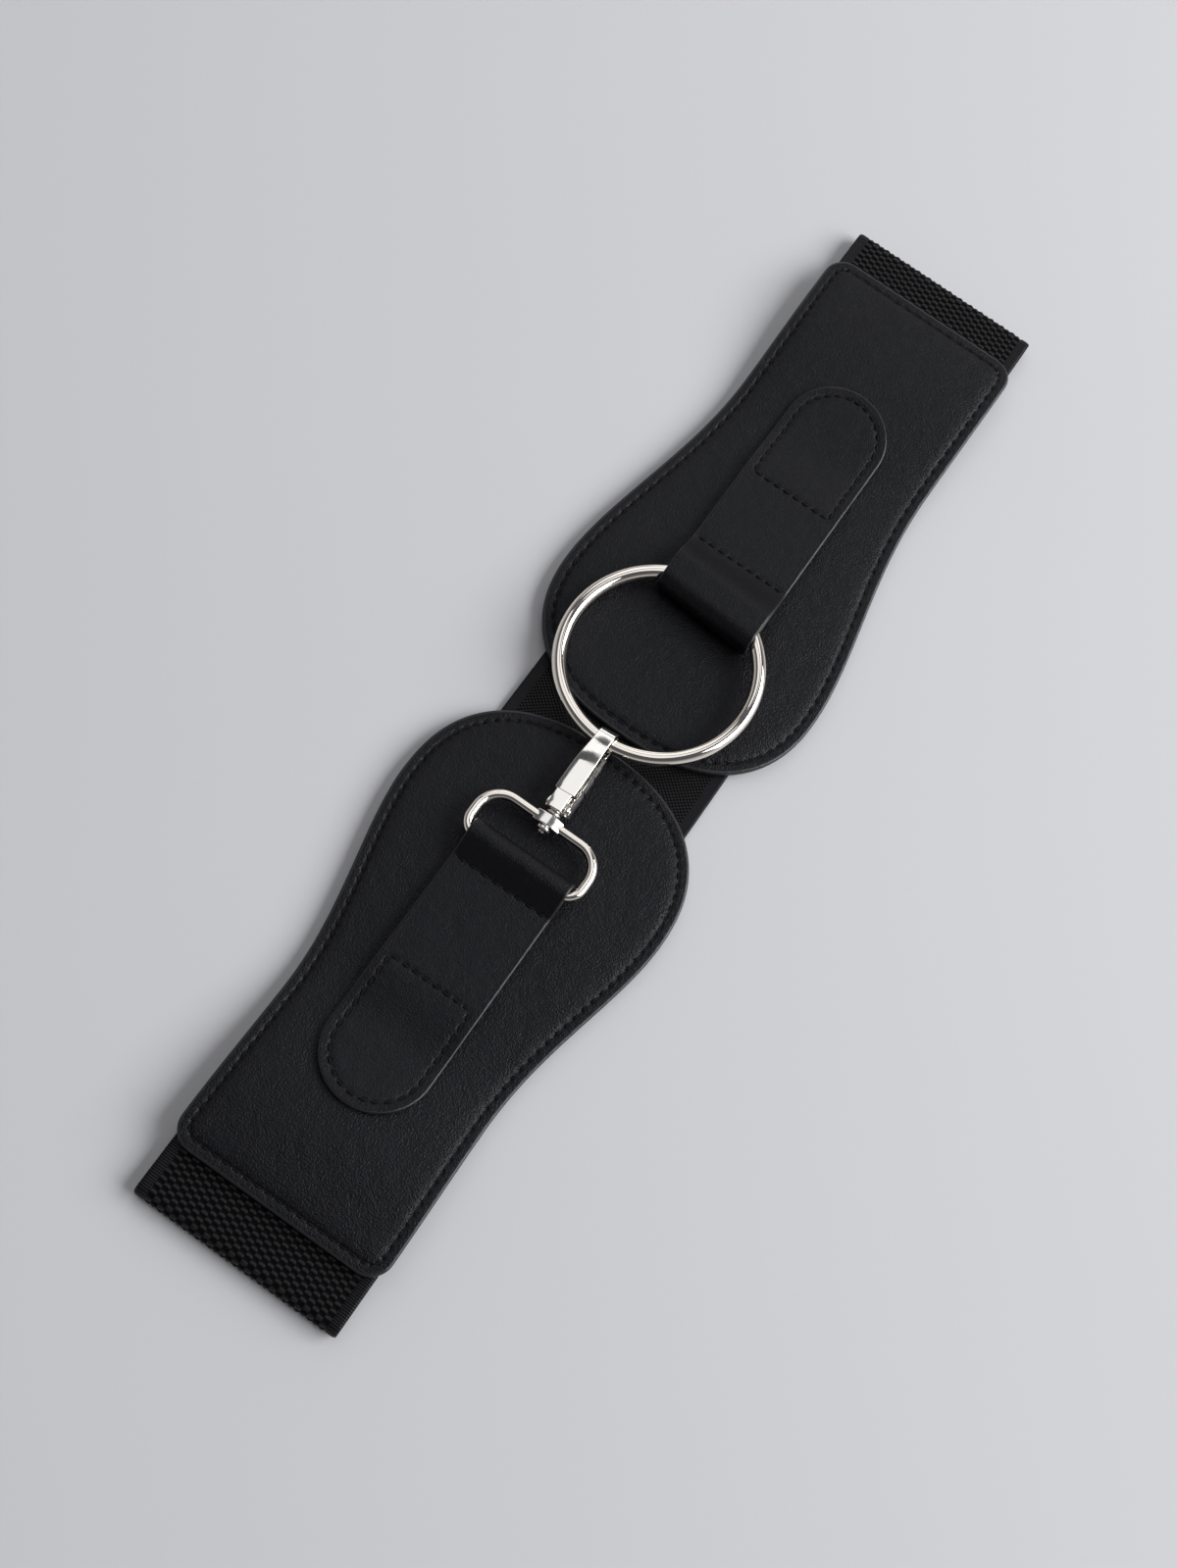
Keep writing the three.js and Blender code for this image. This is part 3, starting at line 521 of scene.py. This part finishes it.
def leather_strap(name, wire, way, centre_y, reach, near_seam, far_seam, pitch, cad_node):
    wire_x, wire_y, wire_z, wire_size, radius, straight, lean = wire

    def seat(s):
        return underside(wire_x + way * s) + panel_edge + puffed + rest_gap

    def forward_at(edge):
        aside = max(abs(centre_y + edge - wire_y) - straight, 0)
        inner = radius - wire_size / 2
        return inner - math.sqrt(inner ** 2 - aside ** 2)

    forward = forward_at(-strap_half)
    skew = forward - forward_at(strap_half)
    wrap = wire_size / 2 + 0.5 + ply
    fold_top = wire_z + wrap
    base = seat(0)
    middle, tall = (fold_top + base) / 2, (fold_top - base) / 2
    doubled, step_down = 40.5, 16.0
    line = [(s, seat(s) + ply / 2) for s in np.linspace(doubled, -forward, 80)]
    for angle in np.radians(np.linspace(270, 90, 40)[1:]):
        line.append((-forward + (wrap - ply / 2) * math.cos(angle), middle + (tall - ply / 2) * math.sin(angle)))
    line.append((0, fold_top - ply / 2))
    for s in np.linspace(0, near_seam, 30)[1:]:
        ease = 0.5 * (s / near_seam) ** 2 * (3 - 2 * s / near_seam) + 0.5 * s / near_seam
        line.append((s, fold_top + (seat(s) + 2 * ply - fold_top) * ease - ply / 2))
    for s in np.linspace(near_seam, reach, 160)[1:]:
        ease = min(max((s - doubled + 1) / step_down, 0), 1)
        ease = ease * ease * (3 - 2 * ease)
        line.append((s, seat(s) + 1.5 * ply - ply * ease))
    line = np.array(line)
    far = np.concatenate([[0], np.cumsum(np.hypot(*np.diff(line, axis=0).T))])
    total = far[-1]
    fine = np.linspace(0, total, 1600)
    path = np.stack([np.interp(fine, far, line[:, 0]), np.interp(fine, far, line[:, 1])], 1)
    kernel = np.ones(25) / 25
    padded_path = np.pad(path, ((12, 12), (0, 0)), mode="reflect", reflect_type="odd")
    path = np.stack([np.convolve(padded_path[:, k], kernel, mode="valid") for k in range(2)], 1)
    tangent = np.gradient(path, axis=0)
    tangent /= np.hypot(*tangent.T)[:, None]

    def place(x, y, h):
        s, z, ts, tz = (float(np.interp(x, fine, a)) for a in (path[:, 0], path[:, 1], tangent[:, 0], tangent[:, 1]))
        s, z = s - tz * h, z + ts * h
        near_fold = min(max((s + forward) / (near_seam + forward), 0), 1)
        near_fold = 1 - near_fold * near_fold * (3 - 2 * near_fold)
        rise = min(max((z - base - ply) / (fold_top - base - 2 * ply), 0), 1)
        s += skew * near_fold * (y + strap_half) / (2 * strap_half)
        z -= math.sin(lean) * (centre_y + y - wire_y) * rise * near_fold
        return Vector((wire_x + way * s, centre_y + y, z))

    def flat_at(s):
        fold = int(path[:, 0].argmin())
        return float(np.interp(s, path[fold:, 0], fine[fold:]))

    tip_centre = total - strap_half
    stations = [tip_centre]
    while stations[-1] > 0:
        stations.append(stations[-1] - 0.5)
    stations = np.array(stations)
    stations = tip_centre - (tip_centre - stations) * tip_centre / (tip_centre - stations[-1])

    def outline(inset):
        half = strap_half - inset
        upper = [(tip_centre + half * math.cos(a), half * math.sin(a)) for a in np.linspace(0, math.pi / 2, 29)]
        upper += [(tip_centre - (tip_centre - x) * (tip_centre - inset) / tip_centre, half) for x in stations[1:]]
        upper += [(inset, y) for y in np.linspace(half, 0, 29)[1:]]
        lower = [(x, -y) for x, y in upper[-2:0:-1]]
        return upper + lower

    bm = bmesh.new()
    first = None
    for inset, h in strap_profile:
        places = [Vector((x, y, h)) for x, y in outline(inset)]
        loop = grow(bm, loop, places) if first else first_loop(bm, places)
        first = first or loop
    for face in bm.faces:
        face.material_index = int(-0.65 < sum(v.co.z for v in face.verts) / 4 < 0.66)
    fill_across(bm, first, 56)
    fill_across(bm, loop, 56, ends=16)

    seam_half = strap_half - 2.8
    near_x, far_x = flat_at(near_seam), flat_at(far_seam)
    round_seam = [(far_x, seam_half)]
    for angle in np.linspace(math.pi / 2, -math.pi / 2, 60):
        round_seam.append((tip_centre + seam_half * math.cos(angle), seam_half * math.sin(angle)))
    round_seam.append((far_x, -seam_half))
    cross_seams = [[(x, seam_half + extra), (x, -seam_half - extra)] for x, extra in ((near_x, 1.6), (far_x, 0))]
    marks = []
    for row_points in [round_seam, *cross_seams]:
        row_points = np.array(row_points)
        span = np.concatenate([[0], np.cumsum(np.hypot(*np.diff(row_points, axis=0).T))])
        count = round(span[-1] / pitch)
        for t in np.arange(0, count + 0.01, 0.25):
            d = t * span[-1] / count
            stitched = 0.5 - 0.5 * math.cos(2 * math.pi * t)
            marks.append((np.interp(d, span, row_points[:, 0]), np.interp(d, span, row_points[:, 1]), stitched))
    marks = np.array(marks)
    for v in bm.verts:
        if v.co.z < 0.66:
            continue
        gap = np.hypot(marks[:, 0] - v.co.x, marks[:, 1] - v.co.y)
        k = gap.argmin()
        v.co.z -= (0.06 + 0.46 * marks[k, 2]) * math.exp(-(gap[k] / 0.45) ** 2)
        v.co.z -= 0.07 * math.exp(-gap[k] / 1.6)
        v.co.z += 0.03 * noise.noise(Vector((v.co.x / 9, v.co.y / 7, wire_x)))
    for v in bm.verts:
        v.co = place(*v.co)
    strap = settle(name, bm, "belt", [strap_leather, edge_paint_and_highlight], [cad_node])

    bm = bmesh.new()
    for row_points in [round_seam, *cross_seams]:
        sew(bm, [(x, y, 0.5) for x, y in row_points], pitch, place, thick=0.75)
    stitches = settle(name + "_stitches", bm, "belt", [thread])


axis_z = 9.308
hook_wire = (-50.95, 1.4, axis_z, 2.8, 4.5, 12.95, 0)
ring_wire = (44.3, 2.3, 10.25, 4.0, 27.0, 0, math.radians(3))
leather_strap("hook_strap", hook_wire, -1, 1.4, 74.4, 6.7, 37.7, 3.34, "hook_tab")
leather_strap("ring_strap", ring_wire, 1, 0.6, 77.4, 11.6, 38.4, 3.0, "ring_tab")


# O ring
# A ring of 4 mm steel wire, 58 mm across outside, butt-welded, polished and nickel-plated.
# The hook's nose closes round it on one side and its strap holds it on the other.
polished, start, end = new_group(
    "handling marks",
    [("Place", "Vector"), ("Clean", "Float"), ("Worn", "Float")],
    [("Roughness", "Float"), ("Height", "Float")],
)
smears = remap(polished, cloudy(polished, start.outputs["Place"], 160.0, 6.0, 0.6), (0.35, 0.7))
span = calc(polished, "SUBTRACT", start.outputs["Worn"], start.outputs["Clean"])
rough = calc(polished, "ADD", calc(polished, "MULTIPLY", smears, span), start.outputs["Clean"])
polished.links.new(rough, end.inputs["Roughness"])
waves = cloudy(polished, start.outputs["Place"], 300.0, 2.0)
pits = cloudy(polished, start.outputs["Place"], 5200.0, 2.0)
height = calc(polished, "ADD", waves, calc(polished, "MULTIPLY", pits, 0.01))
polished.links.new(height, end.inputs["Height"])


def nickel_material(name, color, clean, worn, depth):
    material, tree, shader = new_material(name, color, clean, Metallic=1.0)
    place = add(tree, "ShaderNodeTexCoord")
    marks = add(tree, "ShaderNodeGroup", node_tree=polished)
    tree.links.new(place.outputs["Object"], marks.inputs["Place"])
    marks.inputs["Clean"].default_value = clean
    marks.inputs["Worn"].default_value = worn
    tree.links.new(marks.outputs["Roughness"], shader.inputs["Roughness"])
    bump = add(tree, "ShaderNodeBump", {"Strength": 0.12, "Distance": depth, "Height": marks.outputs["Height"]})
    tree.links.new(bump.outputs[0], shader.inputs["Normal"])
    return material


ring_nickel = nickel_material("polished nickel wire", (0.84, 0.79, 0.73), 0.035, 0.09, 0.00004)
ring_lean = Matrix.Rotation(math.radians(-3), 4, "X") @ Matrix.Rotation(math.radians(-1), 4, "Y")
ring_place = Matrix.Translation((17.3, 2.3, 9.779)) @ ring_lean

bm = bmesh.new()
upright = Matrix.Translation((27, 0, 0)) @ Matrix.Rotation(math.pi / 2, 4, "X")
bmesh.ops.create_circle(bm, segments=40, radius=2.0, matrix=upright)
bmesh.ops.spin(
    bm, geom=[*bm.verts, *bm.edges], cent=(0, 0, 0), axis=(0, 0, 1), angle=2 * math.pi, steps=320, use_merge=True
)
bmesh.ops.transform(bm, matrix=ring_place, verts=bm.verts)
settle("o_ring", bm, "belt", [ring_nickel], ["ring"])


# Wire loop and collar
# A rectangular loop of 2.8 mm wire with round corners, held by the hook's strap. Its front
# bar carries a cast collar, bored through for the hook's swivel and shaped with a low
# ridge across its middle.
loop_place = Matrix.Translation((-43.85, 1.4, axis_z))
loop_wire = 2.8
half_x, half_y = (17 - loop_wire) / 2, (37.7 - loop_wire) / 2
bm = bmesh.new()
bends = []
for side_x, side_y, turn in ((1, 1, 0), (-1, 1, 90), (-1, -1, 180), (1, -1, 270)):
    bend_radius = 7.2 if side_x > 0 else 4.5
    for angle in np.radians(np.linspace(turn, turn + 90, 17)):
        out = Vector((math.cos(angle), math.sin(angle), 0))
        centre = Vector((side_x * (half_x - bend_radius), side_y * (half_y - bend_radius), 0))
        bends.append((centre + bend_radius * out, out))
first = None
for centre, out in [*bends, bends[0]]:
    section = []
    for angle in np.radians(np.arange(0, 360, 18)):
        section.append(centre + loop_wire / 2 * (math.cos(angle) * out + math.sin(angle) * Vector((0, 0, 1))))
    loop = grow(bm, loop, section) if first else first_loop(bm, section)
    first = first or loop
bmesh.ops.remove_doubles(bm, verts=bm.verts, dist=1e-4)
bmesh.ops.transform(bm, matrix=loop_place, verts=bm.verts)
settle("wire_loop", bm, "belt", [ring_nickel], ["hook_loop"])

cast_nickel = nickel_material("plated casting", (0.84, 0.82, 0.79), 0.07, 0.2, 0.00006)
collar_outline = []
for y, z in ((4.05, 0), (4.0, 0.95), (3.6, 1.2), (0.3, 2.28), (-0.3, 2.28), (-3.6, 1.2), (-4.0, 0.95), (-4.05, 0)):
    collar_outline.append((y, z))
collar_outline += [(-y, -z) for y, z in collar_outline[1:-1]]
bore = 1.38
bm = bmesh.new()
first = None
for x, share in ((-1.65, 0), (-1.65, 0.93), (-1.4, 1), (1.4, 1), (1.65, 0.93), (1.65, 0), (-1.65, 0)):
    section = []
    for y, z in collar_outline:
        if share:
            section.append(Vector((x, y * share if abs(y) > 1 else y, z * share)))
        else:
            section.append(Vector((x, bore * y / math.hypot(y, z), bore * z / math.hypot(y, z))))
    loop = grow(bm, loop, section) if first else first_loop(bm, section)
    first = first or loop
bmesh.ops.remove_doubles(bm, verts=bm.verts, dist=1e-4)
bmesh.ops.transform(bm, matrix=Matrix.Translation((-36.75, 1.4, axis_z)), verts=bm.verts)
collar = settle("swivel_collar", bm, "belt", [cast_nickel], crease=30)
softened = collar.modifiers.new("worn edges", "BEVEL")
softened.width, softened.segments = 0.16 * mm, 3
softened.limit_method, softened.angle_limit = "ANGLE", math.radians(25)


# Snap hook
# A small cast hook: a flat top plate that bends down over the ring and back under it, a
# neck between the gate's ears, and a shank that is riveted over behind the collar, so
# that the hook can turn.
hook_place = Matrix.Translation((-6.4, 1.4, axis_z)) @ Matrix.Rotation(math.radians(-12), 4, "X")
hook_nickel = nickel_material("polished hook", (0.86, 0.84, 0.80), 0.045, 0.12, 0.00007)


def rounded_bar(centre, up, half_width, half_thick, round_over=0.22):
    section = []
    for side_y, side_n, turn in ((1, 1, 0), (-1, 1, 90), (-1, -1, 180), (1, -1, 270)):
        for angle in np.radians(np.linspace(turn, turn + 90, 4)):
            y = side_y * (half_width - round_over) + round_over * math.cos(angle)
            n = side_n * (half_thick - round_over) + round_over * math.sin(angle)
            section.append(centre + Vector((0, y, 0)) + up * n)
    return section


def turned(bm, profile, matrix, steps=28):
    before = set(bm.verts)
    line = [bm.verts.new((x, 0, radius)) for x, radius in profile]
    edges = [bm.edges.new(pair) for pair in zip(line, line[1:])]
    bmesh.ops.spin(
        bm, geom=[*line, *edges], cent=(0, 0, 0), axis=(1, 0, 0), angle=2 * math.pi, steps=steps, use_merge=True
    )
    bmesh.ops.remove_doubles(bm, verts=[v for v in bm.verts if v not in before], dist=1e-4)
    bmesh.ops.transform(bm, matrix=matrix, verts=[v for v in bm.verts if v not in before])


bm = bmesh.new()
stations = []
for x, width, top, bottom in (
    (-27.45, 2.05, 3.55, 1.2), (-27.3, 2.2, 3.75, 1.0), (-26.6, 2.22, 3.88, 1.0), (-22.4, 2.25, 4.22, 1.0),
    (-22.25, 2.85, 4.22, 1.2), (-22.05, 2.95, 4.23, 1.6), (-20.0, 2.95, 4.35, 2.5), (-17.5, 2.95, 4.46, 2.9),
    (-15.0, 2.94, 4.57, 2.9), (-13.2, 2.9, 4.65, 2.9), (-12.6, 2.88, 4.66, 2.9), (-11.0, 2.8, 4.62, 2.9),
    (-9.4, 2.72, 4.55, 2.9), (-8.0, 2.64, 4.46, 2.9), (-6.6, 2.56, 4.37, 2.9), (-5.2, 2.48, 4.28, 2.9),
):
    stations.append((Vector((x, 0, (top + bottom) / 2)), Vector((0, 0, 1)), width, (top - bottom) / 2))
for angle in np.radians(np.linspace(90, -90, 21)):
    down = 4.25 if angle > 0 else 4.0
    outer = Vector((-3.7 + 3.7 * math.cos(angle), 0, down * math.sin(angle)))
    inner = Vector((
        -3.7 + 2.9 * abs(math.cos(angle)) ** 0.72,
        0,
        2.9 * math.copysign(abs(math.sin(angle)) ** 0.72, math.sin(angle)),
    ))
    width = 2.25 + (0.2 if angle > 0 else -0.35) * abs(math.sin(angle))
    stations.append(((outer + inner) / 2, (outer - inner).normalized(), width, (outer - inner).length / 2))
for x, width in ((-5.4, 1.88), (-7.2, 1.86), (-7.75, 1.8), (-7.98, 1.6)):
    stations.append((Vector((x, 0, -3.45)), Vector((0, 0, -1)), width, 0.55 if x > -7.9 else 0.4))
first = None
for centre, up, width, thick in stations:
    section = rounded_bar(centre, up, width, thick)
    loop = grow(bm, loop, section) if first else first_loop(bm, section)
    first = first or loop
bm.faces.new(first)
bm.faces.new(loop)
bmesh.ops.transform(bm, matrix=hook_place, verts=bm.verts)
settle("hook_plate", bm, "hook", [hook_nickel], ["hook_body"], crease=40)

bm = bmesh.new()
neck = bmesh.ops.create_cube(bm, size=1)["verts"]
bmesh.ops.scale(bm, vec=(6.4, 4.3, 4.4), verts=neck)
bmesh.ops.translate(bm, vec=(-24.2, 0, 0.75), verts=neck)
for v in neck:
    if v.co.z < 0 and v.co.x > -24:
        v.co.z = 1.6
bmesh.ops.bevel(bm, geom=bm.edges, offset=0.45, segments=4, profile=0.5, affect="EDGES", material=-1)
turned(bm, [(-28.4, 0), (-28.4, 1.9), (-28.15, 2.2), (-27.85, 2.2), (-27.5, 1.95), (-27.3, 0)], Matrix.Identity(4))
turned(bm, [(-33.0, 1.1), (-28.0, 1.1)], Matrix.Identity(4))
turned(
    bm,
    [(-32.3, 0), (-32.3, 1.85), (-32.45, 2.0), (-33.0, 2.0), (-33.3, 1.8), (-33.45, 1.35), (-33.5, 0.95),
     (-33.9, 0.85), (-34.05, 0.65), (-33.95, 0.4), (-33.75, 0)],
    Matrix.Identity(4),
)
bmesh.ops.transform(bm, matrix=hook_place, verts=bm.verts)
settle("hook_neck", bm, "hook", [cast_nickel], crease=40)


# Gate
# A pressed channel that closes the hook from below. Its two ears turn on a pin through the
# neck, and a spring wound on the pin holds it shut under the hook's tip.
gate_nickel = nickel_material("plated pressing", (0.82, 0.80, 0.77), 0.08, 0.22, 0.00006)
pivot = -25.3
gate_low, gate_floor, gate_wall = -2.6, -1.8, 0.8
bm = bmesh.new()
first = None
for x, width, top in (
    (-26.4, 3.42, 0.6), (-26.1, 3.45, 0.95), (-23.9, 3.45, 0.95), (-22.6, 3.44, 0.5), (-21.2, 3.42, -0.15),
    (-19.1, 3.4, -0.3), (-18.95, 3.05, -0.3), (-18.3, 3.05, -0.32), (-18.15, 3.32, -0.3), (-13.75, 3.15, -0.6),
    (-13.6, 2.8, -0.85), (-12.95, 2.8, -0.85), (-12.8, 3.0, -0.8), (-9.6, 2.85, -1.35), (-9.45, 2.65, -1.5),
    (-6.9, 2.55, -1.65), (-6.75, 2.45, -1.7),
):
    half = [
        (width, top - 0.55), (width - 0.18, top - 0.12), (width - gate_wall + 0.15, top + 0.08),
        (width - gate_wall, top - 0.1), (width - gate_wall, gate_floor),
    ]
    outer = [(width, gate_low + 0.35), (width - 0.35, gate_low)]
    section = [Vector((x, y, z)) for y, z in half]
    section += [Vector((x, -y, z)) for y, z in reversed(half)]
    section += [Vector((x, -y, z)) for y, z in outer]
    section += [Vector((x, y, z)) for y, z in reversed(outer)]
    loop = grow(bm, loop, section) if first else first_loop(bm, section)
    first = first or loop
bm.faces.new(first)
bm.faces.new(loop)
ear = [
    (-0.5, 0), (-0.5, 1.6), (-0.3, 1.86), (0.1, 1.9), (0.32, 1.75), (0.42, 1.4), (0.45, 0.9), (0.62, 0.75),
    (0.7, 0.45), (0.7, 0),
]
for side in (1, -1):
    ear_place = Matrix.Translation((pivot, side * 2.99, 0)) @ Matrix.Rotation(side * math.pi / 2, 4, "Z")
    turned(bm, ear, ear_place)
bmesh.ops.transform(bm, matrix=hook_place, verts=bm.verts)
settle("hook_gate", bm, "gate", [gate_nickel], ["gate"], crease=28)


# Floor, light and camera
# The belt lies on a plain pale board. A large soft window lights it from the right, and dim
# panels overhead draw the bright and dark bands along the metal. The camera stands where
# the photograph's did.
board, tree, shader = new_material("pale grey board", (0.515, 0.52, 0.54), 0.85, Specular_IOR_Level=0.25)
place = add(tree, "ShaderNodeTexCoord")
mottle = cloudy(tree, place.outputs["Object"], 3.0, 6.0)
tree.links.new(blend(tree, mottle, (0.505, 0.508, 0.53), (0.525, 0.53, 0.55)), shader.inputs["Base Color"])
bm = bmesh.new()
bmesh.ops.create_grid(bm, x_segments=4, y_segments=4, size=4)
mesh = bpy.data.meshes.new("floor")
bm.to_mesh(mesh)
bm.free()
mesh.materials.append(board)
floor = bpy.data.objects.new("floor", mesh)
bpy.context.scene.collection.objects.link(floor)

world = bpy.data.worlds.new("studio")
bpy.context.scene.world = world
world.use_nodes = True
tree = world.node_tree
walls = add(tree, "ShaderNodeTexCoord")
height = add(tree, "ShaderNodeSeparateXYZ", {0: walls.outputs["Generated"]})
ceiling = remap(tree, height.outputs[2], (0.15, 0.62), curve="SMOOTHSTEP")
room = blend(tree, ceiling, (0.47, 0.45, 0.43), (0.09, 0.092, 0.1))
tree.links.new(room, tree.nodes["Background"].inputs["Color"])

view_right = Vector((0.55844, -0.81973, 0.12720))
view_down = Vector((-0.76681, -0.56860, -0.29781))
view_ahead = Vector((0.31645, 0.06878, -0.94611))


def soft_light(name, towards, distance, size, power):
    lamp = bpy.data.lights.new(name, "AREA")
    lamp.shape, lamp.size, lamp.size_y = "RECTANGLE", size[0], size[1]
    lamp.energy = power
    holder = bpy.data.objects.new(name, lamp)
    out = Vector(towards).normalized()
    along = (Vector((1, 0, 0)) - out * out.x).normalized()
    turn = Matrix((along, out.cross(along), out)).transposed().to_4x4()
    holder.matrix_world = Matrix.Translation(out * distance) @ turn
    bpy.context.scene.collection.objects.link(holder)


soft_light("window", (0.34, -0.74, 0.60), 2.1, (2.0, 1.5), 70)
soft_light("near ceiling panel", (0.08, 0.24, 0.96), 1.3, (0.74, 1.15), 2.5)
soft_light("far ceiling panel", (0.63, 0.27, 0.73), 1.3, (0.62, 1.15), 2.5)
soft_light("far fill", (0.93, 0.16, 0.34), 1.7, (0.5, 1.3), 2.2)

camera = bpy.data.cameras.new("camera")
camera.sensor_width = 36
camera.lens = 36 * 1920.48 / 1599
camera.clip_start, camera.clip_end = 0.01, 20
eye = bpy.data.objects.new("camera", camera)
turn = Matrix((view_right, -view_down, -view_ahead)).transposed().to_4x4()
eye.matrix_world = Matrix.Translation(Vector((-177.85, -35.23, 475.40)) * mm) @ turn
bpy.context.scene.collection.objects.link(eye)
bpy.context.scene.camera = eye
bpy.context.scene.view_settings.view_transform = "Standard"
